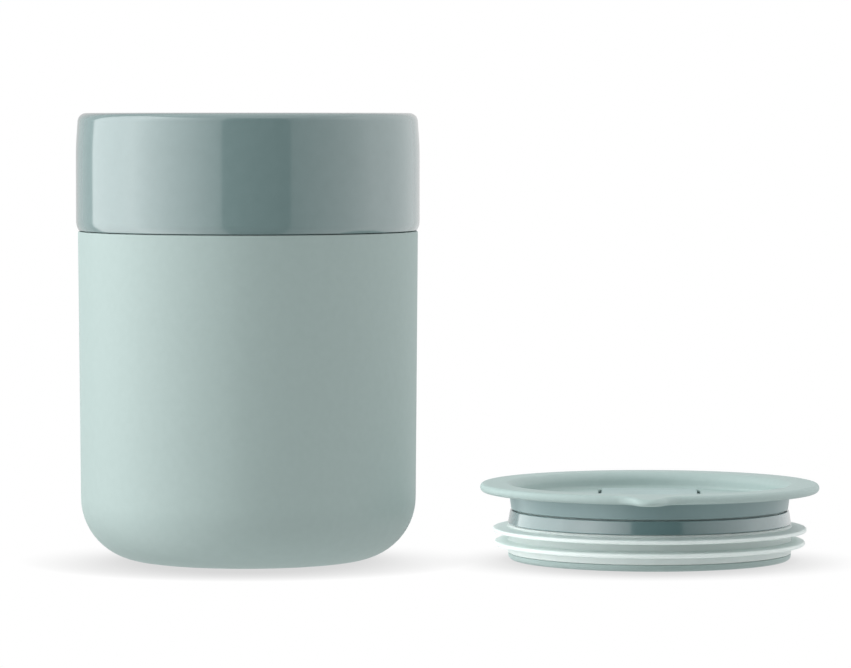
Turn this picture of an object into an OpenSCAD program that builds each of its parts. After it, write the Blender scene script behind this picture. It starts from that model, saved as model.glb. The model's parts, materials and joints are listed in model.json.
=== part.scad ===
// Soup mug: a glazed cup in a soft sleeve, with its sip lid set down beside it.
// Lengths are in millimetres. The cup stands on z = 0 with its axis at the origin, and the lid lies along +X.
// The band's diameter sets all others, through the walls, steps and clearances below.

/* [Cup] */
// Height of the cup from the table to the rim
cup_h = 114.5; // [105:0.5:130]
// Diameter of the bare glazed band
band_d = 88; // [80:0.5:98]
// Height of the bare glazed band
band_h = 30; // [24:0.5:40]
// Height over which the band draws in to the rim
rim_slope_h = 8.5; // [4:0.5:12]
// How far the band draws in at the rim, on each side
rim_draw = 0.6; // [0.1:0.05:1]
// Rounding where the band starts to draw in
rim_slope_r = 60; // [20:5:100]
// Rounding of the rim's outer edge
rim_edge_r = 2.2; // [0.8:0.1:2.4]
// Thickness of the band's wall at the mouth
rim_wall = 5.6; // [4.5:0.1:7]
// Height over which the band draws in to its lower edge
band_foot_h = 1.3; // [0.8:0.1:3]
// How far the band draws in at its lower edge, on each side
band_foot_draw = 0.65; // [0.2:0.05:1]
// Rounding of the band's lower edge
band_edge_r = 0.3; // [0.1:0.05:0.4]
// Depth of the straight mouth that takes the lid
mouth_depth = 24; // [20:1:28]
// Rounding of the mouth's edge
mouth_edge_r = 1.6; // [0.8:0.1:2.4]
// Height of the shoulder between the mouth and the well
shoulder_h = 2; // [1.5:0.25:4]
// Rounding of the shoulder's two corners
shoulder_r = 2; // [1:0.25:3]
// Thickness of the cup's wall inside the sleeve
cup_wall = 4; // [3:0.25:5]
// Thickness of the cup's base
cup_base = 5.5; // [4:0.25:8]
// Rounding inside the cup between its wall and its base
cup_well_r = 12; // [6:1:20]

/* [Sleeve] */
// How far the band stands out beyond the sleeve's top edge
band_step = 0.45; // [0.2:0.05:1]
// How far the sleeve draws in from its top edge to its foot, on each side
sleeve_taper = 0.68; // [0:0.02:2]
// Rounding of the sleeve's bottom corner
sleeve_corner_r = 16; // [8:0.5:20]
// Thickness of the sleeve's wall
sleeve_wall = 2.8; // [2:0.1:3.5]
// Thickness of the sleeve's floor
sleeve_floor_t = 2.5; // [2:0.1:4]
// Rounding of the sleeve's top edge
sleeve_edge_r = 0.35; // [0.1:0.05:0.7]
// Open gap between the sleeve's top edge and the band
reveal = 0.2; // [0.1:0.05:1.5]
// Clearance between the cup and the stretched sleeve
sleeve_fit = 0.1; // [0.05:0.05:0.3]

/* [Lid] */
// Free space on the table between the band and the lid's flange
lid_gap = 15.55; // [8:0.05:40]
// Turn of the lid about its own axis, in degrees
lid_turn = -2.6; // [-30:0.1:30]
// Height of the lid from its foot to the top of its flange
lid_h = 19.55; // [19:0.05:24]
// How far the flange's edge stays inside the band's
flange_inset = 0.45; // [0:0.05:1]
// Thickness of the flange
flange_t = 2.2; // [1.6:0.1:3]
// Height of the parting line above the lid's foot
waist_z = 12.8; // [12.2:0.1:14]
// How far the waist draws in from the plug at the parting line
waist_step = 0.25; // [0.1:0.05:0.5]
// How far the neck widens from the waist up to the flange
neck_flare = 0.6; // [0.2:0.05:1]
// Height of the shadow groove at the parting line
seam_h = 0.3; // [0.2:0.05:0.8]
// Depth of the shadow groove at the parting line
seam_depth = 0.9; // [0.6:0.1:1.4]
// Thickness of the neck's wall round the dish, at the top
dish_wall = 1.3; // [1:0.1:2]
// How far the dish narrows from its top to its floor, on each side
dish_draft = 0.55; // [0.2:0.05:2]
// Depth of the dish below the flange
dish_depth = 4.2; // [3.8:0.1:5]
// Thickness of the dish's floor
dish_floor_t = 3.4; // [3.2:0.1:4]
// Rounding where the dish's wall meets its floor
dish_floor_r = 1.2; // [0.5:0.1:1.5]
// Rounding where the flange rolls over into the dish
dish_edge_r = 2.6; // [1:0.1:3]

/* [Pull tab] */
// How far the pull tab reaches beyond the flange
tab_reach = 5.8; // [3.5:0.1:8]
// Width of the pull tab's round nose
tab_w = 8.4; // [6:0.2:14]
// Radius of the hollow curve that leads from the flange to the nose
tab_blend_r = 6; // [3:0.5:12]
// How far the hollow curve stays clear of the flange and the nose where it meets them
tab_lap = 0.05; // [0.02:0.01:0.1]

/* [Closure] */
// Width of the slider between its two slots
slider_w = 25; // [18:0.2:27]
// Length of the slider
slider_l = 31; // [26:0.5:33]
// How far the shut slider stays from the edge of the dish's floor
slider_inset = 3.8; // [3.4:0.1:6]
// How far the slider opens
slider_travel = 16; // [13:0.5:18]
// How far the slider stands above the dish's floor
slider_rise = 0.35; // [0.1:0.05:0.8]
// Rounding of the slider's corners
slider_corner_r = 1.2; // [0.6:0.1:3]
// Width of the slot on each side of the slider
slot_gap = 0.8; // [0.3:0.05:1]
// How far each wing of the slider reaches out sideways
wing_w = 1.5; // [1:0.1:2]
// Thickness of the slider's wings
wing_t = 0.9; // [0.6:0.05:1]
// Thickness of the channel's floor under the slider
channel_floor_t = 1.4; // [1:0.1:1.5]
// Running clearance round the slider and its wings
slide_fit = 0.2; // [0.1:0.05:0.3]
// Diameter of the thumb dimple
dimple_d = 16; // [12:0.5:20]
// Depth of the thumb dimple
dimple_depth = 0.9; // [0.4:0.1:1.2]
// Width of the sip passage
sip_w = 20; // [12:0.5:22]
// Length of the sip passage along the slider's path
sip_l = 9; // [6:0.5:10]
// How far the shut slider covers the channel beyond the sip passage
sip_cover = 3; // [2:0.25:4]

/* [Plug] */
// How far the plug's skirt widens from the parting line down to the gasket
skirt_flare = 0.6; // [0.2:0.05:1]
// How far the lip below the gasket stays inside the gasket's body
lip_step = 0.1; // [0:0.05:0.5]
// Height of the lip below the gasket
plug_lip_h = 1.7; // [1.2:0.1:2.5]
// Rounding of the lip's lower edge
plug_lip_r = 1.1; // [0.4:0.1:1.3]
// Thickness of the plug's wall behind the gasket
plug_wall = 1.8; // [1.4:0.1:2.4]
// Thickness of the plug's floor
plug_floor_t = 1.8; // [1.4:0.1:2.4]
// How high the plug's floor stands above the ring that the lid rests on
plug_foot_h = 0.6; // [0.3:0.1:1]
// Width of the ring that the lid rests on
plug_foot_w = 2.4; // [1.6:0.2:5]
// Length of the spigot that centres the two halves of the lid
spigot_l = 3; // [2:0.25:5]
// Thickness of the spigot
spigot_t = 1.8; // [1.2:0.1:2.4]
// Clearance of the spigot in the plug
spigot_fit = 0.1; // [0.05:0.05:0.2]
// Thickness of the tube round the sip passage
sip_wall = 1.6; // [1.2:0.1:2.2]

/* [Gasket] */
// Gap between the gasket's body and the cup's mouth, which the fins close
gasket_gap = 2; // [1.5:0.1:3]
// Height of the gasket's body
gasket_h = 7.5; // [6.5:0.1:8.5]
// Thickness of the gasket's body
gasket_t = 1.35; // [1:0.05:2]
// How far the free upper fin reaches past the mouth's wall
upper_fin_bite = 1.95; // [0.5:0.05:3]
// How far the free lower fin reaches past the mouth's wall
lower_fin_bite = 1.55; // [0.5:0.05:3]
// Distance from the gasket's upper edge down to the upper fin's middle
upper_fin_drop = 1.5; // [1.2:0.05:2]
// Height of the lower fin's middle above the gasket's lower edge
lower_fin_z = 2.55; // [2:0.05:3]
// Thickness of a fin at its tip
fin_t = 1; // [0.8:0.1:1.4]
// Thickness of a fin at its root
fin_root_t = 1.5; // [1.2:0.1:1.8]
// Clearance of the gasket in its groove
gasket_fit = 0.05; // [0.02:0.01:0.1]

/* [Hidden] */
$fn = 96;

// Largest turn between two points of a rounded corner, in degrees
arc_step = 9;
// How far cuts run past the faces that they open
overrun = 1;
// Rounding of an edge, as a share of the thickness that it closes
edge_share = 0.48;
// Rounding where the band starts to draw in to its lower edge, as a share of the longest that fits
foot_share = 0.75;
// Small rounding of the mouldings' other edges, as a share of the seam's height
seam_edge_share = 0.9;

// Cup and sleeve
band_r = band_d / 2;
band_z = cup_h - band_h;
mouth_r = band_r - rim_wall;
mouth_z = cup_h - mouth_depth;
sleeve_z = band_z - reveal;
sleeve_top_r = band_r - band_step;
sleeve_foot_r = sleeve_top_r - sleeve_taper;
cup_z = sleeve_floor_t;
cup_top_r = sleeve_top_r - sleeve_wall - sleeve_fit;
cup_foot_r = sleeve_foot_r - sleeve_wall - sleeve_fit;
cup_corner_r = sleeve_corner_r - sleeve_wall - sleeve_fit;
well_top_r = cup_top_r - cup_wall;
well_r = cup_foot_r - cup_wall;
well_z = cup_z + cup_base;
band_foot_l = norm([band_foot_draw, band_foot_h]);
band_foot_r = foot_share * band_foot_l / tan(atan(band_foot_draw / band_foot_h) / 2);

// Lid, measured from its own foot and axis
flange_r = band_r - flange_inset;
lid_x = band_r + lid_gap + flange_r;
flange_z = lid_h - flange_t;
flange_edge_r = flange_t * edge_share;
gasket_r = mouth_r - gasket_gap;
groove_r = gasket_r - gasket_t - gasket_fit;
gasket_z = plug_lip_h;
gasket_top_z = gasket_z + gasket_h;
plug_top_r = gasket_r - skirt_flare;
lip_r = gasket_r - lip_step;
plug_bore_r = groove_r - plug_wall;
plug_under_z = plug_foot_h;
plug_floor_z = plug_under_z + plug_floor_t;
spigot_r = plug_bore_r - spigot_fit;
waist_r = plug_top_r - waist_step;
neck_r = waist_r + neck_flare;
seam_top_z = waist_z + seam_h / 2;
seam_low_z = waist_z - seam_h / 2;
seam_edge_r = seam_h * seam_edge_share;
dish_r = neck_r - dish_wall;
dish_foot_r = dish_r - dish_draft;
dish_z = lid_h - dish_depth;
lid_under_z = dish_z - dish_floor_t;

// Slider and its channel
channel_z = lid_under_z + channel_floor_t;
slider_z = channel_z + slide_fit;
slider_top_z = dish_z + slider_rise;
slider_end = dish_foot_r - slider_inset;
slider_y = slider_end - slider_l / 2;
channel_l = slider_l + slider_travel + 2 * slide_fit;
channel_y = slider_end + slide_fit - channel_l / 2;
sip_y = slider_end - sip_cover - sip_l / 2;
dimple_r = ((dimple_d / 2) ^ 2 + dimple_depth ^ 2) / (2 * dimple_depth);

// Pull tab: centre of its nose, and centre of the hollow curve on each side
nose_r = tab_w / 2;
nose_y = flange_r + tab_reach - nose_r;
hollow_r = tab_blend_r - tab_lap;
hollow_from_axis = flange_r + tab_blend_r;
hollow_from_nose = nose_r + tab_blend_r;
hollow_y = (hollow_from_axis ^ 2 - hollow_from_nose ^ 2 + nose_y ^ 2) / (2 * nose_y);
hollow_x = sqrt(hollow_from_axis ^ 2 - hollow_y ^ 2);

// Outlines: each point is [x, y, corner radius], and a corner with a radius becomes an arc
function flat(p) = [p[0], p[1]];
function unit(v) = v / norm(v);
function corner(before, at, after, r) =
    let (
        a = unit(before - at),
        b = unit(after - at),
        half = acos(a * b) / 2,
        mid = at + unit(a + b) * r / sin(half),
        from = at + a * r / tan(half) - mid,
        to = at + b * r / tan(half) - mid,
        start = atan2(from[1], from[0]),
        turn = atan2(cross(from, to), from * to),
        steps = ceil(abs(turn) / arc_step)
    )
    [for (i = [0 : steps]) mid + r * [cos(start + turn * i / steps), sin(start + turn * i / steps)]];
function soft(points) =
    let (n = len(points))
    [
        for (i = [0 : n - 1])
            let (p = points[i])
            each p[2] == 0
                ? [flat(p)]
                : corner(flat(points[(i + n - 1) % n]), flat(p), flat(points[(i + 1) % n]), p[2])
    ];
function oblong(w, l, r) = [
    [-w / 2, -l / 2, r],
    [w / 2, -l / 2, r],
    [w / 2, l / 2, r],
    [-w / 2, l / 2, r]
];

// Outline of the cup, from the middle of its base up the outside and down into the well
function cup_outline() = [
    [0, cup_z, 0],
    [cup_foot_r, cup_z, cup_corner_r],
    [cup_top_r, band_z, reveal / 2],
    [band_r - band_foot_draw, band_z, band_edge_r],
    [band_r, band_z + band_foot_h, band_foot_r],
    [band_r, cup_h - rim_slope_h, rim_slope_r],
    [band_r - rim_draw, cup_h, rim_edge_r],
    [mouth_r, cup_h, mouth_edge_r],
    [mouth_r, mouth_z, shoulder_r],
    [well_top_r, mouth_z - shoulder_h, shoulder_r],
    [well_r, well_z, cup_well_r],
    [0, well_z, 0]
];

// Outline of the sleeve: the cup's own outline with the fit added, and the wall outside it
function sleeve_outline() = [
    [0, 0, 0],
    [sleeve_foot_r, 0, sleeve_corner_r],
    [sleeve_top_r, sleeve_z, sleeve_edge_r],
    [cup_top_r + sleeve_fit, sleeve_z, sleeve_edge_r],
    [cup_foot_r + sleeve_fit, cup_z, cup_corner_r + sleeve_fit],
    [0, cup_z, 0]
];

// Outline of the lid's upper half: dish, flange, neck, shadow groove, seat and spigot
function lid_top_outline() = [
    [0, dish_z, 0],
    [0, lid_under_z, 0],
    [spigot_r - spigot_t, lid_under_z, 0],
    [spigot_r - spigot_t, seam_low_z - spigot_l, 0],
    [spigot_r, seam_low_z - spigot_l, spigot_t * edge_share],
    [spigot_r, seam_low_z, 0],
    [waist_r - seam_depth, seam_low_z, 0],
    [waist_r - seam_depth, seam_top_z, 0],
    [waist_r, seam_top_z, seam_edge_r],
    [neck_r, flange_z, flange_edge_r / 2],
    [flange_r, flange_z, flange_edge_r],
    [flange_r, lid_h, flange_edge_r],
    [dish_r, lid_h, dish_edge_r],
    [dish_foot_r, dish_z, dish_floor_r]
];

// Outline of the lid's lower half: skirt, gasket groove, lip, foot ring and the hollow inside
function plug_outline() = [
    [0, plug_under_z, 0],
    [lip_r - plug_lip_r - plug_foot_w, plug_under_z, 0],
    [lip_r - plug_lip_r - plug_foot_w, 0, 0],
    [lip_r, 0, plug_lip_r],
    [lip_r, plug_lip_h, seam_edge_r],
    [groove_r, plug_lip_h, 0],
    [groove_r, gasket_top_z, 0],
    [gasket_r, gasket_top_z, seam_edge_r],
    [plug_top_r, seam_low_z, seam_edge_r],
    [plug_bore_r, seam_low_z, 0],
    [plug_bore_r, plug_floor_z, plug_floor_t],
    [0, plug_floor_z, 0]
];

// Outline of one fin, from its lower root round the tip to its upper root
function fin(bite, z) = [
    [gasket_r, z - fin_root_t / 2, fin_t * edge_share / 2],
    [mouth_r + bite, z - fin_t / 2, fin_t * edge_share],
    [mouth_r + bite, z + fin_t / 2, fin_t * edge_share],
    [gasket_r, z + fin_root_t / 2, fin_t * edge_share / 2]
];

// Outline of the gasket: a band in the plug's groove with two fins
function gasket_outline() = [
    [groove_r + gasket_fit, gasket_z + gasket_fit, 0],
    [gasket_r, gasket_z + gasket_fit, 0],
    each fin(lower_fin_bite, gasket_z + lower_fin_z),
    each fin(upper_fin_bite, gasket_top_z - upper_fin_drop),
    [gasket_r, gasket_top_z - gasket_fit, 0],
    [groove_r + gasket_fit, gasket_top_z - gasket_fit, 0]
];

// Edge of the flange as a hollow curve sees it: what is cut away inside the curve
function hollow_outline() = [
    [0, -flange_t / 2 - overrun, 0],
    [hollow_r + flange_t, -flange_t / 2 - overrun, 0],
    [hollow_r + flange_t, -flange_t / 2, 0],
    [hollow_r, -flange_t / 2, flange_edge_r],
    [hollow_r, flange_t / 2, flange_edge_r],
    [hollow_r + flange_t, flange_t / 2, 0],
    [hollow_r + flange_t, flange_t / 2 + overrun, 0],
    [0, flange_t / 2 + overrun, 0]
];

// Disc with the flange's thickness and round edge
function nose_outline() = [
    [0, -flange_t / 2, 0],
    [nose_r, -flange_t / 2, flange_edge_r],
    [nose_r, flange_t / 2, flange_edge_r],
    [0, flange_t / 2, 0]
];

module turned(points) {
    rotate_extrude() polygon(soft(points));
}

module slab(points, z, h) {
    translate([0, 0, z]) linear_extrude(h) polygon(soft(points));
}

// Puts a piece of the lid where the lid lies
module at_lid() {
    translate([lid_x, 0, 0]) rotate([0, 0, lid_turn]) children();
}

// Straight-sided part of the pull tab, between the flange and the nose
module tab_web() {
    root_share = (flange_r - flange_t) / hollow_from_axis;
    linear_extrude(flange_t, center = true)
        polygon([
            [hollow_x * root_share, -hollow_y * root_share],
            [hollow_x, -hollow_y],
            [0, -nose_y],
            [-hollow_x, -hollow_y],
            [-hollow_x * root_share, -hollow_y * root_share]
        ]);
}

module pull_tab() {
    translate([0, 0, lid_h - flange_t / 2]) {
        difference() {
            tab_web();
            for (side = [-1, 1])
                translate([side * hollow_x, -hollow_y, 0]) turned(hollow_outline());
        }
        translate([0, -nose_y, 0]) turned(nose_outline());
    }
}

// Room for the slider: the open channel, the grooves for its wings and the sip passage
module closure_cut() {
    translate([0, channel_y, 0]) {
        slab(
            oblong(slider_w + 2 * slot_gap, channel_l, slider_corner_r + slide_fit),
            channel_z,
            lid_h - channel_z + overrun
        );
        slab(
            oblong(slider_w + 2 * (wing_w + slide_fit), channel_l, slider_corner_r + slide_fit),
            channel_z,
            wing_t + 2 * slide_fit
        );
    }
    sip_passage(lid_under_z - overrun, channel_floor_t + 2 * overrun);
}

module sip_passage(z, h, wall = 0) {
    translate([0, sip_y, 0])
        slab(oblong(sip_w + 2 * wall, sip_l + 2 * wall, (sip_l + 2 * wall) * edge_share), z, h);
}

module ceramic_mug() {
    color([0.6, 0.68, 0.67]) turned(cup_outline());
}

module silicone_sleeve() {
    color([0.66, 0.74, 0.72]) turned(sleeve_outline());
}

module lid_top() {
    color([0.68, 0.76, 0.74])
        at_lid()
            difference() {
                union() {
                    turned(lid_top_outline());
                    pull_tab();
                }
                closure_cut();
            }
}

module lid_slider() {
    color([0.7, 0.77, 0.76])
        at_lid()
            translate([0, slider_y, 0])
                difference() {
                    union() {
                        slab(
                            oblong(slider_w, slider_l, slider_corner_r),
                            slider_z,
                            slider_top_z - slider_z
                        );
                        slab(oblong(slider_w + 2 * wing_w, slider_l, slider_corner_r), slider_z, wing_t);
                    }
                    translate([0, 0, slider_top_z - dimple_depth + dimple_r]) sphere(dimple_r);
                }
}

module lid_plug() {
    color([0.6, 0.68, 0.67])
        at_lid()
            difference() {
                union() {
                    turned(plug_outline());
                    sip_passage(plug_under_z, lid_under_z - plug_under_z, sip_wall);
                }
                sip_passage(plug_under_z - overrun, lid_under_z - plug_under_z + 2 * overrun);
            }
}

module lid_gasket() {
    color([0.82, 0.88, 0.86]) at_lid() turned(gasket_outline());
}

ceramic_mug();
silicone_sleeve();
lid_top();
lid_slider();
lid_plug();
lid_gasket();
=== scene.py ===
import json
import math

import bmesh
import bpy
from mathutils import Matrix, Vector

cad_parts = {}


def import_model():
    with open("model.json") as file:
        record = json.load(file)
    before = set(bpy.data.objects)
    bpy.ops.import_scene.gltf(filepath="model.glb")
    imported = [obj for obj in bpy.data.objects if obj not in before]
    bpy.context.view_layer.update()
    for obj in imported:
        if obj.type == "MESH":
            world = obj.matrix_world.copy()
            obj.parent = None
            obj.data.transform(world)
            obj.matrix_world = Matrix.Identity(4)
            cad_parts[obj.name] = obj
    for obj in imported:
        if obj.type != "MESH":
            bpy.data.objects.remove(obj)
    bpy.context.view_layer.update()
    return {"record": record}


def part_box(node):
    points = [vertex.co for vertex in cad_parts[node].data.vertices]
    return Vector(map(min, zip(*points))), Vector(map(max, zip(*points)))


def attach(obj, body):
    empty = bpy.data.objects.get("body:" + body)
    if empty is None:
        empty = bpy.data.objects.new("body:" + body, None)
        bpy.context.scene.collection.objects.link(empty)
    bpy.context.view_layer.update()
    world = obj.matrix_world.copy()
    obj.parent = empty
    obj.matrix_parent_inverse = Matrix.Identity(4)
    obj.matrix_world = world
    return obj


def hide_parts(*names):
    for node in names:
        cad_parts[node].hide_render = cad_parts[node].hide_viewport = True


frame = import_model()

MM = 0.001


def span(node, axis):
    """Lowest and highest place of a CAD node along an axis, in millimetres."""
    low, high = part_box(node)
    return low[axis] / MM, high[axis] / MM


# Cup sizes in millimetres, the main ones read from the frame
CUP_Z, CUP_H = span("ceramic_mug", 2)
BAND_R = span("ceramic_mug", 0)[1]
BAND_H = 30.0
BAND_Z = CUP_H - BAND_H
BAND_FOOT_H = 1.3
BAND_FOOT_DRAW = 0.65
BAND_FOOT_R = 4.6
BAND_EDGE_R = 0.3
RIM_SLOPE_H = 8.5
RIM_SLOPE_R = 60.0
RIM_DRAW = 0.6
RIM_EDGE_R = 2.2
RIM_WALL = 5.6
MOUTH_R = BAND_R - RIM_WALL
MOUTH_Z = CUP_H - 24.0
MOUTH_EDGE_R = 1.6
SHOULDER_H = 2.0
SHOULDER_R = 2.0
CUP_WALL = 4.0
CUP_BASE = 5.5
CUP_WELL_R = 12.0

# Sleeve
SLEEVE_R = span("silicone_sleeve", 0)[1]
SLEEVE_H = span("silicone_sleeve", 2)[1]
REVEAL = BAND_Z - SLEEVE_H
SLEEVE_TAPER = 0.68
SLEEVE_CORNER_R = 16.0
SLEEVE_WALL = 2.8
SLEEVE_EDGE_R = 0.35
SLEEVE_FIT = 0.1
CUP_TOP_R = SLEEVE_R - SLEEVE_WALL - SLEEVE_FIT
CUP_FOOT_R = CUP_TOP_R - SLEEVE_TAPER
CUP_CORNER_R = SLEEVE_CORNER_R - SLEEVE_WALL - SLEEVE_FIT

# Lid, measured from its own foot and axis
LID_X = sum(span("lid_gasket", 0)) / 2
LID_H = span("lid_top", 2)[1]
FLANGE_R = BAND_R - 0.45
FLANGE_T = 2.2
FLANGE_EDGE_R = 1.05
FLANGE_Z = LID_H - FLANGE_T
GASKET_R = MOUTH_R - 2.0
GROOVE_R = GASKET_R - 1.4
PLUG_TOP_R = GASKET_R - 0.6
WAIST_R = PLUG_TOP_R - 0.25
NECK_R = WAIST_R + 0.6
DISH_R = NECK_R - 1.3
DISH_FOOT_R = DISH_R - 0.55
DISH_DEPTH = 4.2
DISH_Z = LID_H - DISH_DEPTH
DISH_FLOOR_T = 3.4
DISH_FLOOR_R = 1.2
DISH_EDGE_R = 2.6
LID_UNDER_Z = DISH_Z - DISH_FLOOR_T
WAIST_Z = 12.8
SEAM_H = 0.3
SEAM_DEPTH = 0.9
SEAM_TOP_Z = WAIST_Z + SEAM_H / 2
SEAM_LOW_Z = WAIST_Z - SEAM_H / 2
SMALL_R = 0.25

# Pull tab
TAB_REACH = 5.8
TAB_NOSE_R = 4.2
TAB_BLEND_R = 6.0
TAB_ROOT = 2.5
TAB_DROOP = 0.7

# Closure
SLIDER_Z, SLIDER_TOP_Z = span("lid_slider", 2)
SLIDER_W = 25.0
SLIDER_L = 31.0
SLIDER_END = DISH_FOOT_R - 3.8
SLIDER_TRAVEL = 16.0
SLIDER_CORNER_R = 1.2
SLIDER_EDGE_R = 0.35
SLOT_GAP = 0.8
SLOT_CHAMFER = 0.2
WING_W = 1.5
WING_T = 0.9
SLIDE_FIT = 0.2
CHANNEL_Z = SLIDER_Z - SLIDE_FIT
CHANNEL_L = SLIDER_L + SLIDER_TRAVEL + 2 * SLIDE_FIT
DIMPLE_R = 8.0
DIMPLE_DEPTH = 0.9
DIMPLE_EDGE_R = 3.0
DIMPLE_FLAT_SHARE = 0.5
DIMPLE_CUT_R = DIMPLE_R + 6.0
DIMPLE_CUT_RISE = 0.02
SIP_W = 20.0
SIP_L = 9.0
SIP_COVER = 3.0
SIP_WALL = 1.6
SIP_END_R = SIP_L * 0.48
SIP_Y = SLIDER_END - SIP_COVER - SIP_L / 2

# Plug
PLUG_LIP_OUT_R = GASKET_R - 0.1
PLUG_LIP_H = 1.7
PLUG_LIP_EDGE_R = 1.1
PLUG_BORE_R = GROOVE_R - 1.8
PLUG_UNDER_Z = 0.6
PLUG_FLOOR_T = 1.8
PLUG_FLOOR_Z = PLUG_UNDER_Z + PLUG_FLOOR_T
PLUG_FOOT_W = 2.4
SPIGOT_R = PLUG_BORE_R - 0.1
SPIGOT_T = 1.8
SPIGOT_L = 3.0

# Gasket
GASKET_Z, GASKET_TOP_Z = span("lid_gasket", 2)
GASKET_FIT = 0.05
UPPER_FIN_R = MOUTH_R + 1.95
LOWER_FIN_R = MOUTH_R + 1.55
UPPER_FIN_Z = GASKET_TOP_Z + GASKET_FIT - 1.5
LOWER_FIN_Z = PLUG_LIP_H + 2.55
FIN_T = 1.0
FIN_ROOT_T = 1.5
FIN_TIP_R = FIN_T * 0.48

# Fineness of the meshes
ARC_STEP = math.radians(6)
SHARP = math.radians(32)
ROUND_STEPS = 192
ROUND = [math.tau * i / ROUND_STEPS for i in range(ROUND_STEPS)]
SLIDER_EDGE_STEPS = 5
SLOPE_STEP = 0.001
OVERRUN = 1.0
APART = 0.01

# Where the lid lies: the slider's joint says how far the lid is turned
SLIDE_AXIS = frame["record"]["behaviour"]["joints"][1]["axis"]
LID_TURN = math.atan2(SLIDE_AXIS[0], -SLIDE_AXIS[1])
AT_LID = Matrix.Translation((LID_X, 0, 0)) @ Matrix.Rotation(LID_TURN, 4, "Z")


def soften(outline):
    """Points of a closed outline of (x, y, radius) corners, where each radius becomes an arc."""
    points = []
    for i, (x, y, radius) in enumerate(outline):
        at = Vector((x, y))
        if radius == 0:
            points.append(at)
            continue
        back = (Vector(outline[i - 1][:2]) - at).normalized()
        ahead = (Vector(outline[(i + 1) % len(outline)][:2]) - at).normalized()
        half = back.angle(ahead) / 2
        mid = at + (back + ahead).normalized() * (radius / math.sin(half))
        start = at + back * (radius / math.tan(half)) - mid
        end = at + ahead * (radius / math.tan(half)) - mid
        turn = math.atan2(start.x * end.y - start.y * end.x, start.dot(end))
        steps = max(2, math.ceil(abs(turn) / ARC_STEP))
        for k in range(steps + 1):
            points.append(mid + Matrix.Rotation(turn * k / steps, 2) @ start)
    return points


def circle(radius, z, angles):
    return [Vector((radius * math.cos(a), radius * math.sin(a), z)) for a in angles]


def turned(outline):
    """Rings of a turned piece from its outline of (radius, z, corner radius)."""
    rings = []
    for radius, z in soften(outline):
        rings.append(circle(radius, z, ROUND) if radius > 0 else [Vector((0, 0, z))])
    return rings


def oblong(width, length, radius, y, z):
    """Ring of points round a rectangle with round corners."""
    corners = [
        (-width / 2, y - length / 2, radius),
        (width / 2, y - length / 2, radius),
        (width / 2, y + length / 2, radius),
        (-width / 2, y + length / 2, radius),
    ]
    return [Vector((p.x, p.y, z)) for p in soften(corners)]


def shade(mesh):
    mesh.shade_smooth()
    mesh.set_sharp_from_angle(angle=SHARP)


def skin(name, rings, place=Matrix(), loop=False):
    """Object over rings of points in millimetres. Unless it loops, a point or a face closes each end."""
    build = bmesh.new()
    rows = [[build.verts.new((place @ point) * MM) for point in ring] for ring in rings]
    pairs = list(zip(rows, rows[1:]))
    if loop:
        pairs.append((rows[-1], rows[0]))
    for below, above in pairs:
        count = max(len(below), len(above))
        for i in range(count):
            j = (i + 1) % count
            low = (below[i % len(below)], below[j % len(below)])
            high = (above[j % len(above)], above[i % len(above)])
            build.faces.new(dict.fromkeys(low + high))
    if not loop:
        for row in (rows[0], rows[-1]):
            if len(row) > 1:
                build.faces.new(row)
    bmesh.ops.recalc_face_normals(build, faces=build.faces)
    mesh = bpy.data.meshes.new(name)
    build.to_mesh(mesh)
    build.free()
    shade(mesh)
    piece = bpy.data.objects.new(name, mesh)
    bpy.context.collection.objects.link(piece)
    return piece


def cut(piece, *cutters):
    """Takes the cutters away from the piece and deletes them."""
    for cutter in cutters:
        change = piece.modifiers.new("cut", "BOOLEAN")
        change.operation = "DIFFERENCE"
        change.solver = "EXACT"
        change.object = cutter
    bpy.context.view_layer.update()
    ready = piece.evaluated_get(bpy.context.evaluated_depsgraph_get())
    mesh = bpy.data.meshes.new_from_object(ready)
    piece.modifiers.clear()
    piece.data = mesh
    for cutter in cutters:
        bpy.data.objects.remove(cutter)
    shade(mesh)


def join(piece, other):
    """Adds the other object's mesh to the piece."""
    build = bmesh.new()
    build.from_mesh(piece.data)
    build.from_mesh(other.data)
    build.to_mesh(piece.data)
    build.free()
    bpy.data.objects.remove(other)
    shade(piece.data)


def dress(piece, node, body, finish):
    """Puts a finished piece in the place of its CAD node."""
    flat = piece.modifiers.new("flat faces", "WEIGHTED_NORMAL")
    flat.keep_sharp = True
    piece.data.materials.clear()
    piece.data.materials.append(finish)
    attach(piece, body)
    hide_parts(node)
    return piece


def zone(piece, finish, chosen):
    """Gives another finish to the faces chosen by their radius and height about the lid's axis."""
    piece.data.materials.append(finish)
    to_lid = AT_LID.inverted()
    for face in piece.data.polygons:
        middle = to_lid @ (face.center / MM)
        if chosen(middle.xy.length, middle.z):
            face.material_index = len(piece.data.materials) - 1


# Cup and sleeve
def cup():
    well_z = CUP_Z + CUP_BASE
    return skin("glazed_cup", turned([
        (0, CUP_Z, 0),
        (CUP_FOOT_R, CUP_Z, CUP_CORNER_R),
        (CUP_TOP_R, BAND_Z, REVEAL / 2),
        (BAND_R - BAND_FOOT_DRAW, BAND_Z, BAND_EDGE_R),
        (BAND_R, BAND_Z + BAND_FOOT_H, BAND_FOOT_R),
        (BAND_R, CUP_H - RIM_SLOPE_H, RIM_SLOPE_R),
        (BAND_R - RIM_DRAW, CUP_H, RIM_EDGE_R),
        (MOUTH_R, CUP_H, MOUTH_EDGE_R),
        (MOUTH_R, MOUTH_Z, SHOULDER_R),
        (CUP_TOP_R - CUP_WALL, MOUTH_Z - SHOULDER_H, SHOULDER_R),
        (CUP_FOOT_R - CUP_WALL, well_z, CUP_WELL_R),
        (0, well_z, 0),
    ]))


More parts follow.
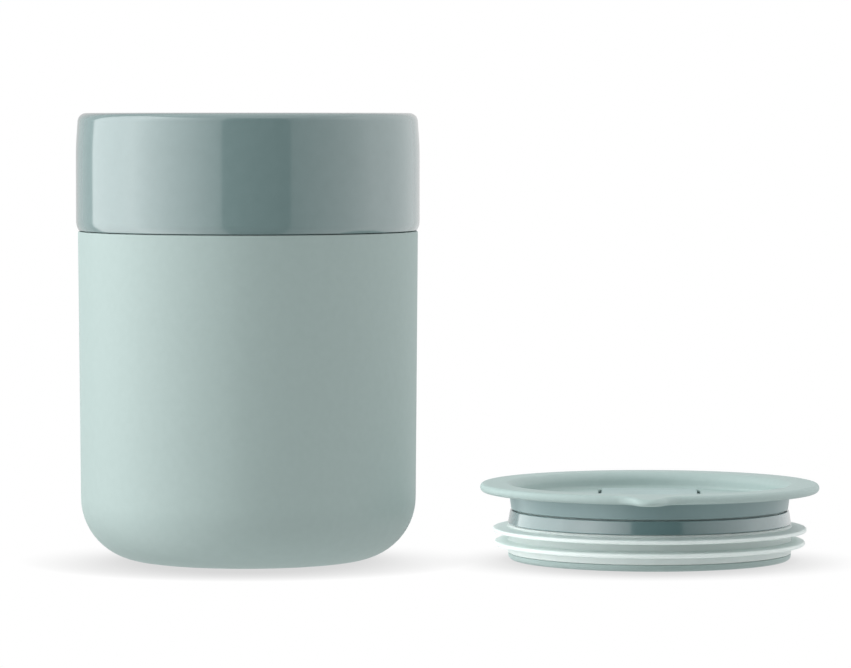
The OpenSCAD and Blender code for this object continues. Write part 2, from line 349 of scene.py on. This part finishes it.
def sleeve():
    return skin("soft_sleeve", turned([
        (0, 0, 0),
        (SLEEVE_R - SLEEVE_TAPER, 0, SLEEVE_CORNER_R),
        (SLEEVE_R, SLEEVE_H, SLEEVE_EDGE_R),
        (CUP_TOP_R + SLEEVE_FIT, SLEEVE_H, SLEEVE_EDGE_R),
        (CUP_FOOT_R + SLEEVE_FIT, CUP_Z, CUP_CORNER_R + SLEEVE_FIT),
        (0, CUP_Z, 0),
    ]))


# Lid: the flange's edge runs out into a pull tab with a round nose between two hollow curves
NOSE_Y = FLANGE_R + TAB_REACH - TAB_NOSE_R
HOLLOW_FAR = FLANGE_R + TAB_BLEND_R
HOLLOW_NEAR = TAB_NOSE_R + TAB_BLEND_R
HOLLOW_Y = (HOLLOW_FAR ** 2 - HOLLOW_NEAR ** 2 + NOSE_Y ** 2) / (2 * NOSE_Y)
HOLLOW_X = math.sqrt(HOLLOW_FAR ** 2 - HOLLOW_Y ** 2)
HOLLOW_TURN = math.atan2(HOLLOW_X, HOLLOW_Y)
NOSE_SHARE = TAB_NOSE_R / HOLLOW_NEAR
NOSE_TURN = math.atan2(HOLLOW_X * NOSE_SHARE, NOSE_Y + (HOLLOW_Y - NOSE_Y) * NOSE_SHARE)
TAB_TURN = math.radians(14)
TAB_STEPS = 72
RIM_STEPS = 200
TAB_AT = -math.pi / 2
LID_ANGLES = [TAB_AT - TAB_TURN + 2 * TAB_TURN * i / TAB_STEPS for i in range(TAB_STEPS)]
LID_ANGLES += [TAB_AT + TAB_TURN + (math.tau - 2 * TAB_TURN) * i / RIM_STEPS for i in range(RIM_STEPS)]


def rim_reach(angle):
    """Distance from the lid's axis to the edge of the flange or of its tab."""
    turn = abs(math.remainder(angle - TAB_AT, math.tau))
    if turn < NOSE_TURN:
        return NOSE_Y * math.cos(turn) + math.sqrt(TAB_NOSE_R ** 2 - (NOSE_Y * math.sin(turn)) ** 2)
    if turn < HOLLOW_TURN:
        off = HOLLOW_TURN - turn
        return HOLLOW_FAR * math.cos(off) - math.sqrt(TAB_BLEND_R ** 2 - (HOLLOW_FAR * math.sin(off)) ** 2)
    return FLANGE_R


def rim_ring(inset, z):
    """Ring that follows the flange and its tab at an even distance inside the edge."""
    ring = []
    for angle in LID_ANGLES:
        reach = rim_reach(angle)
        slope = (rim_reach(angle + SLOPE_STEP) - rim_reach(angle - SLOPE_STEP)) / (2 * SLOPE_STEP)
        outward = Matrix.Rotation(-math.atan2(slope, reach), 2) @ Vector((math.cos(angle), math.sin(angle)))
        point = Vector((math.cos(angle), math.sin(angle))) * reach - outward * inset
        droop = TAB_DROOP * (reach - FLANGE_R) / TAB_REACH
        droop *= (1 - inset / TAB_ROOT) * (z - FLANGE_Z) / FLANGE_T
        ring.append(Vector((point.x, point.y, z - droop)))
    return ring


def closure_cutters():
    """Room for the slider: the chamfered channel, the grooves for its wings and the sip passage."""
    middle = SLIDER_END + SLIDE_FIT - CHANNEL_L / 2
    width = SLIDER_W + 2 * SLOT_GAP
    radius = SLIDER_CORNER_R + SLIDE_FIT
    flare = 2 * SLOT_CHAMFER
    channel = skin("channel", [
        oblong(width, CHANNEL_L, radius, middle, CHANNEL_Z),
        oblong(width, CHANNEL_L, radius, middle, DISH_Z - SLOT_CHAMFER),
        oblong(width + flare, CHANNEL_L + flare, radius + SLOT_CHAMFER, middle, DISH_Z),
        oblong(width + flare, CHANNEL_L + flare, radius + SLOT_CHAMFER, middle, LID_H + OVERRUN),
    ], AT_LID)
    groove_w = SLIDER_W + 2 * (WING_W + SLIDE_FIT)
    groove_l = CHANNEL_L - APART
    grooves = skin("grooves", [
        oblong(groove_w, groove_l, radius, middle, CHANNEL_Z),
        oblong(groove_w, groove_l, radius, middle, CHANNEL_Z + WING_T + 2 * SLIDE_FIT),
    ], AT_LID)
    return channel, grooves, sip_cutter(LID_UNDER_Z - OVERRUN, CHANNEL_Z + OVERRUN)


def sip_cutter(low, high):
    outline = (SIP_W, SIP_L, SIP_END_R, SIP_Y)
    return skin("sip", [oblong(*outline, low), oblong(*outline, high)], AT_LID)


def lid_top():
    flat = FLANGE_R - TAB_ROOT
    outline = soften([
        (0, DISH_Z, 0),
        (0, LID_UNDER_Z, 0),
        (SPIGOT_R - SPIGOT_T, LID_UNDER_Z, SMALL_R),
        (SPIGOT_R - SPIGOT_T, SEAM_LOW_Z - SPIGOT_L, SMALL_R),
        (SPIGOT_R, SEAM_LOW_Z - SPIGOT_L, SMALL_R),
        (SPIGOT_R, SEAM_LOW_Z, 0),
        (WAIST_R - SEAM_DEPTH, SEAM_LOW_Z, 0),
        (WAIST_R - SEAM_DEPTH, SEAM_TOP_Z, 0),
        (WAIST_R, SEAM_TOP_Z, SMALL_R),
        (NECK_R, FLANGE_Z, FLANGE_EDGE_R / 2),
        (flat, FLANGE_Z, 0),
        (FLANGE_R, FLANGE_Z, FLANGE_EDGE_R),
        (FLANGE_R, LID_H, FLANGE_EDGE_R),
        (flat, LID_H, 0),
        (DISH_R, LID_H, DISH_EDGE_R),
        (DISH_FOOT_R, DISH_Z, DISH_FLOOR_R),
    ])
    rings = []
    for radius, z in outline[1:] + outline[:1]:
        if radius == 0:
            rings.append([Vector((0, 0, z))])
        elif radius >= flat:
            rings.append(rim_ring(FLANGE_R - radius, z))
        else:
            rings.append(circle(radius, z, LID_ANGLES))
    piece = skin("lid_top_moulding", rings, AT_LID)
    cut(piece, *closure_cutters())
    return piece


def slider():
    middle = SLIDER_END - SLIDER_L / 2
    wide = SLIDER_W + 2 * WING_W

    def ring(width, inset, z):
        return oblong(width - 2 * inset, SLIDER_L - 2 * inset, SLIDER_CORNER_R - inset, middle, z)

    rings = [ring(wide, SMALL_R, SLIDER_Z), ring(wide, 0, SLIDER_Z + SMALL_R)]
    rings += [ring(wide, 0, SLIDER_Z + WING_T), ring(SLIDER_W, 0, SLIDER_Z + WING_T)]
    for i in range(SLIDER_EDGE_STEPS + 1):
        turn = math.pi / 2 * i / SLIDER_EDGE_STEPS
        inset = SLIDER_EDGE_R * (1 - math.cos(turn))
        rings.append(ring(SLIDER_W, inset, SLIDER_TOP_Z - SLIDER_EDGE_R * (1 - math.sin(turn))))
    piece = skin("lid_slider_panel", rings, AT_LID)
    rim = SLIDER_TOP_Z + OVERRUN
    dimple = turned([
        (0, SLIDER_TOP_Z - DIMPLE_DEPTH, 0),
        (DIMPLE_R * DIMPLE_FLAT_SHARE, SLIDER_TOP_Z - DIMPLE_DEPTH, DIMPLE_R),
        (DIMPLE_R, SLIDER_TOP_Z, DIMPLE_EDGE_R),
        (DIMPLE_CUT_R, SLIDER_TOP_Z + DIMPLE_CUT_RISE, 0),
        (DIMPLE_CUT_R, rim, 0),
        (0, rim, 0),
    ])
    cut(piece, skin("dimple", dimple, AT_LID @ Matrix.Translation((0, middle, 0))))
    return piece


def plug():
    foot_r = PLUG_LIP_OUT_R - PLUG_LIP_EDGE_R - PLUG_FOOT_W
    piece = skin("lid_plug_shell", turned([
        (0, PLUG_UNDER_Z, 0),
        (foot_r, PLUG_UNDER_Z, SMALL_R),
        (foot_r, 0, SMALL_R),
        (PLUG_LIP_OUT_R, 0, PLUG_LIP_EDGE_R),
        (PLUG_LIP_OUT_R, PLUG_LIP_H, SMALL_R),
        (GROOVE_R, PLUG_LIP_H, 0),
        (GROOVE_R, GASKET_TOP_Z + GASKET_FIT, 0),
        (GASKET_R, GASKET_TOP_Z + GASKET_FIT, SMALL_R),
        (PLUG_TOP_R, SEAM_LOW_Z, SMALL_R),
        (PLUG_BORE_R, SEAM_LOW_Z, SMALL_R),
        (PLUG_BORE_R, PLUG_FLOOR_Z, PLUG_FLOOR_T),
        (0, PLUG_FLOOR_Z, 0),
    ]), AT_LID)
    cut(piece, sip_cutter(PLUG_UNDER_Z - OVERRUN, PLUG_FLOOR_Z + OVERRUN))
    outer = (SIP_W + 2 * SIP_WALL, SIP_L + 2 * SIP_WALL, SIP_END_R + SIP_WALL, SIP_Y)
    inner = (SIP_W, SIP_L, SIP_END_R, SIP_Y)
    tube = skin("tube", [
        oblong(*outer, PLUG_UNDER_Z + PLUG_FLOOR_T / 2),
        oblong(*outer, LID_UNDER_Z),
        oblong(*inner, LID_UNDER_Z),
        oblong(*inner, PLUG_UNDER_Z + PLUG_FLOOR_T / 2),
    ], AT_LID, loop=True)
    join(piece, tube)
    return piece


def fin(reach, z):
    """Outline of one gasket fin, from its lower root round the tip to its upper root."""
    return [
        (GASKET_R, z - FIN_ROOT_T / 2, SMALL_R),
        (reach, z - FIN_T / 2, FIN_TIP_R),
        (reach, z + FIN_T / 2, FIN_TIP_R),
        (GASKET_R, z + FIN_ROOT_T / 2, SMALL_R),
    ]


def gasket():
    outline = [(GROOVE_R + GASKET_FIT, GASKET_Z, 0), (GASKET_R, GASKET_Z, SMALL_R)]
    outline += fin(LOWER_FIN_R, LOWER_FIN_Z)
    outline += fin(UPPER_FIN_R, UPPER_FIN_Z)
    outline += [(GASKET_R, GASKET_TOP_Z, SMALL_R), (GROOVE_R + GASKET_FIT, GASKET_TOP_Z, 0)]
    return skin("lid_gasket_fins", turned(outline), AT_LID, loop=True)


# Materials
def finish(name, colour, roughness):
    """New material with its colour and roughness set, and what is needed to add to it."""
    material = bpy.data.materials.new(name)
    material.use_nodes = True
    tree = material.node_tree
    shader = tree.nodes["Principled BSDF"]
    shader.inputs["Base Color"].default_value = (*colour, 1)
    shader.inputs["Roughness"].default_value = roughness
    return material, tree, shader


def noise(tree, scale, detail=2.0):
    place = tree.nodes.new("ShaderNodeTexCoord")
    node = tree.nodes.new("ShaderNodeTexNoise")
    node.inputs["Scale"].default_value = scale
    node.inputs["Detail"].default_value = detail
    tree.links.new(place.outputs["Object"], node.inputs["Vector"])
    return node.outputs["Fac"]


def tint(tree, shader, value, dark, light):
    """Lets the base colour drift between two shades with a noise value."""
    ramp = tree.nodes.new("ShaderNodeValToRGB")
    ramp.color_ramp.elements[0].position = 0.3
    ramp.color_ramp.elements[0].color = (*dark, 1)
    ramp.color_ramp.elements[1].position = 0.7
    ramp.color_ramp.elements[1].color = (*light, 1)
    tree.links.new(value, ramp.inputs["Fac"])
    tree.links.new(ramp.outputs["Color"], shader.inputs["Base Color"])


def bump(tree, shader, value, height):
    """Raises the surface with a value, by a height in metres."""
    node = tree.nodes.new("ShaderNodeBump")
    node.inputs["Distance"].default_value = height
    tree.links.new(value, node.inputs["Height"])
    tree.links.new(node.outputs["Normal"], shader.inputs["Normal"])


def coat(shader):
    """Adds a clear glossy layer."""
    shader.inputs["Coat Weight"].default_value = 1
    shader.inputs["Coat Roughness"].default_value = 0.1
    shader.inputs["Coat IOR"].default_value = 1.5


def glaze():
    material, tree, shader = finish("sage_glaze", (0.17, 0.25, 0.25), 0.1)
    coat(shader)
    tint(tree, shader, noise(tree, 300, 3), (0.166, 0.245, 0.245), (0.174, 0.255, 0.255))
    bump(tree, shader, noise(tree, 60), 0.00002)
    return material


def silicone():
    material, tree, shader = finish("sage_silicone", (0.35, 0.445, 0.43), 0.5)
    tint(tree, shader, noise(tree, 500, 3), (0.344, 0.438, 0.423), (0.356, 0.452, 0.437))
    bump(tree, shader, noise(tree, 4000), 0.00001)
    return material


def moulded():
    material, tree, shader = finish("sage_moulded", (0.37, 0.475, 0.46), 0.45)
    tint(tree, shader, noise(tree, 700, 3), (0.362, 0.467, 0.452), (0.378, 0.483, 0.468))
    bump(tree, shader, noise(tree, 5000), 0.00002)
    return material


def panel():
    material, tree, shader = finish("sage_panel", (0.36, 0.47, 0.465), 0.45)
    tint(tree, shader, noise(tree, 700, 3), (0.352, 0.462, 0.457), (0.368, 0.478, 0.473))
    bump(tree, shader, noise(tree, 5000), 0.00002)
    return material


# Satin finish for the neck under the flange. Its base colour is darker than the moulding's, which paints the
# shade under the flange
def satin_painted_shade():
    material, tree, shader = finish("sage_satin_painted_shade", (0.235, 0.34, 0.345), 0.3)
    tint(tree, shader, noise(tree, 500, 2), (0.231, 0.335, 0.34), (0.239, 0.345, 0.35))
    bump(tree, shader, noise(tree, 1500), 0.00001)
    return material


def polished():
    material, tree, shader = finish("sage_polished", (0.14, 0.23, 0.235), 0.15)
    shader.inputs["IOR"].default_value = 1.7
    coat(shader)
    tint(tree, shader, noise(tree, 400, 2), (0.137, 0.226, 0.231), (0.143, 0.234, 0.239))
    bump(tree, shader, noise(tree, 150), 0.00001)
    return material


def seal():
    material, tree, shader = finish("pale_seal", (0.68, 0.765, 0.745), 0.4)
    shader.inputs["IOR"].default_value = 1.41
    shader.inputs["Subsurface Weight"].default_value = 0.6
    shader.inputs["Subsurface Radius"].default_value = (1, 1, 1)
    shader.inputs["Subsurface Scale"].default_value = 0.003
    tint(tree, shader, noise(tree, 300, 2), (0.67, 0.755, 0.735), (0.69, 0.775, 0.755))
    bump(tree, shader, noise(tree, 200), 0.00001)
    return material


matte = moulded()
bowl = dress(cup(), "ceramic_mug", "mug", glaze())
jacket = dress(sleeve(), "silicone_sleeve", "mug", silicone())
top = dress(lid_top(), "lid_top", "lid", matte)
# The neck and the flange's underside get the satin finish, whose darker colour is painted shade under the
# flange
zone(top, satin_painted_shade(), lambda radius, z: radius > DISH_R and z < FLANGE_Z)
closure = dress(slider(), "lid_slider", "slider", panel())
shell = dress(plug(), "lid_plug", "lid", polished())
zone(shell, matte, lambda radius, z: z < PLUG_LIP_H)
ring = dress(gasket(), "lid_gasket", "lid", seal())
MUG = [bowl, jacket]
LID = [top, closure, shell, ring]


# Studio: a white floor, upright cards of light that reach below it, and a pale ceiling
STAGE_X = LID_X / 2 * MM
STUDIO_R = 0.9
FLOOR_R = 0.55
FLOOR_Z = -0.0001
CARD_GAP = 0.01
CARD_ROWS = 8
CARD_STEP = 5
UPRIGHT = (-60, 55)
OVERHEAD = (55, 90)
SHADE_FROM = (0, 0.86, 0.51)
SHADE_REACH = 0.02
SHADE_GREY = 0.58
FLOOR_BOUNCE = 0.4
FLOOR_GLOW = 0.15


def white_rays(tree):
    """One for the rays that should see the white studio: camera, glossy and transmission rays."""
    path = tree.nodes.new("ShaderNodeLightPath")
    either = path.outputs["Is Camera Ray"]
    for name in ("Is Glossy Ray", "Is Transmission Ray"):
        more = tree.nodes.new("ShaderNodeMath")
        more.operation = "MAXIMUM"
        tree.links.new(either, more.inputs[0])
        tree.links.new(path.outputs[name], more.inputs[1])
        either = more.outputs[0]
    return either


def world():
    """White world, seen by camera, glossy and transmission rays alone."""
    scene_world = bpy.data.worlds.new("studio")
    scene_world.use_nodes = True
    tree = scene_world.node_tree
    sky = tree.nodes["Background"]
    sky.inputs["Color"].default_value = (1, 1, 1, 1)
    tree.links.new(white_rays(tree), sky.inputs["Strength"])
    bpy.context.scene.world = scene_world


def bare_material(name):
    material = bpy.data.materials.new(name)
    material.use_nodes = True
    tree = material.node_tree
    tree.nodes.remove(tree.nodes["Principled BSDF"])
    return material, tree, tree.nodes["Material Output"].inputs["Surface"]


def sum_of(tree, first, second):
    both = tree.nodes.new("ShaderNodeAddShader")
    tree.links.new(first.outputs[0], both.inputs[0])
    tree.links.new(second.outputs[0], both.inputs[1])
    return both


def stage(name, points, faces, material):
    mesh = bpy.data.meshes.new(name)
    mesh.from_pydata(points, [], faces)
    mesh.materials.append(material)
    sheet = bpy.data.objects.new(name, mesh)
    bpy.context.collection.objects.link(sheet)
    return sheet


def floor():
    """White floor. Where pieces come near it, the camera sees a painted soft shade that falls to the front,
    made from occlusion in the floor's glow rather than cast.
    """
    material, tree, surface = bare_material("white_floor")
    material.cycles.emission_sampling = "NONE"
    bounce = tree.nodes.new("ShaderNodeBsdfDiffuse")
    bounce.inputs["Color"].default_value = (FLOOR_BOUNCE, FLOOR_BOUNCE, FLOOR_BOUNCE, 1)
    glow = tree.nodes.new("ShaderNodeEmission")
    glow.inputs["Strength"].default_value = FLOOR_GLOW
    back = tree.nodes.new("ShaderNodeCombineXYZ")
    for place, share in zip(back.inputs, SHADE_FROM):
        place.default_value = share
    # Painted shadow: the occlusion from nearby pieces darkens the glow that camera rays see
    near = tree.nodes.new("ShaderNodeAmbientOcclusion")
    near.inputs["Distance"].default_value = SHADE_REACH
    tree.links.new(back.outputs[0], near.inputs["Normal"])
    grey = tree.nodes.new("ShaderNodeMapRange")
    grey.inputs["To Min"].default_value = SHADE_GREY
    tree.links.new(near.outputs["AO"], grey.inputs["Value"])
    shown = tree.nodes.new("ShaderNodeEmission")
    tree.links.new(grey.outputs["Result"], shown.inputs["Strength"])
    mix = tree.nodes.new("ShaderNodeMixShader")
    tree.links.new(white_rays(tree), mix.inputs["Fac"])
    tree.links.new(sum_of(tree, bounce, glow).outputs[0], mix.inputs[1])
    tree.links.new(shown.outputs[0], mix.inputs[2])
    tree.links.new(mix.outputs[0], surface)
    corners = [(x * FLOOR_R, y * FLOOR_R, FLOOR_Z) for x, y in ((-1, -1), (1, -1), (1, 1), (-1, 1))]
    sheet = stage("floor", corners, [(0, 1, 2, 3)], material)
    sheet.visible_glossy = False
    sheet.visible_shadow = False
    return sheet


def lamp(name, clear):
    """Material that shines with the mesh's own glow. A clear one lets other light through."""
    material, tree, surface = bare_material(name)
    read = tree.nodes.new("ShaderNodeAttribute")
    read.attribute_name = "glow"
    light = tree.nodes.new("ShaderNodeEmission")
    tree.links.new(read.outputs["Color"], light.inputs["Color"])
    if clear:
        light = sum_of(tree, light, tree.nodes.new("ShaderNodeBsdfTransparent"))
    tree.links.new(light.outputs[0], surface)
    return material


def card(name, rises, *stops, radius=STUDIO_R, clear=False):
    """Curved card between two elevations. Each stop is an azimuth, rising to the right, and a glow."""
    low, high = rises
    points = []
    glows = []
    faces = []
    rows = CARD_ROWS
    for (start, first), (end, last) in zip(stops, stops[1:]):
        columns = math.ceil((end - start) / CARD_STEP)
        for i in range(columns + 1):
            azimuth = math.radians(start + (end - start) * i / columns)
            for row in range(rows + 1):
                rise = math.radians(low + (high - low) * row / rows)
                out = radius * math.cos(rise)
                x = STAGE_X + out * math.sin(azimuth)
                points.append((x, -out * math.cos(azimuth), radius * math.sin(rise)))
                glows.append(first + (last - first) * i / columns)
                if i > 0 and row > 0:
                    at = len(points) - 1
                    faces.append((at - rows - 2, at - 1, at, at - rows - 1))
    sheet = stage(name, points, faces, lamp(name, clear))
    sheet.visible_camera = False
    paint = sheet.data.color_attributes.new("glow", "FLOAT_COLOR", "POINT")
    for entry, glow in zip(paint.data, glows):
        entry.color = (glow, glow, glow, 1)
    return sheet


def link(light, lit, shading):
    """Lets a light reach some objects alone, and be shaded by some objects alone."""
    for use, objects in (("receiver", lit), ("blocker", shading)):
        group = bpy.data.collections.new(f"{light.name}_{use}s")
        for entry in objects:
            group.objects.link(entry)
        setattr(light.light_linking, f"{use}_collection", group)


world()
ground = floor()
mug_key = card("mug_softbox", UPRIGHT, (-122, 1.7), (-80, 3.4), (-18, 0.8))
lid_stops = ((-139, 1.6), (-90, 2.2), (-50, 2.6), (-14, 0.9))
lid_key = card("lid_softbox", UPRIGHT, *lid_stops, radius=STUDIO_R - CARD_GAP, clear=True)
card("front_wall", UPRIGHT, (-18, 0.1), (27, 0.0))
card("right_wall", UPRIGHT, (27, 0.4), (92, 1.6), (150, 0.9))
card("back_wall", UPRIGHT, (150, 0.8), (240, 0.4))
card("ceiling", OVERHEAD, (-180, 1.0), (180, 1.0))

# Each softbox lights its own item, and the lid's also the floor. The mug doesn't shade the lid's one
link(mug_key, MUG, [*MUG, *LID])
link(lid_key, [*LID, ground], LID)


# Camera, fitted to the photograph
IMAGE_W = 851
FOCAL_PX = 4776
CAMERA_AT = (0.0455, -1.225, 0.117)
CAMERA_DOWN = math.radians(2.766)

lens = bpy.data.cameras.new("camera")
lens.sensor_fit = "HORIZONTAL"
lens.sensor_width = 36
lens.lens = FOCAL_PX / IMAGE_W * lens.sensor_width
camera = bpy.data.objects.new("camera", lens)
camera.location = CAMERA_AT
camera.rotation_euler = (math.pi / 2 - CAMERA_DOWN, 0, 0)
bpy.context.collection.objects.link(camera)
bpy.context.scene.camera = camera
bpy.context.scene.view_settings.view_transform = "Standard"
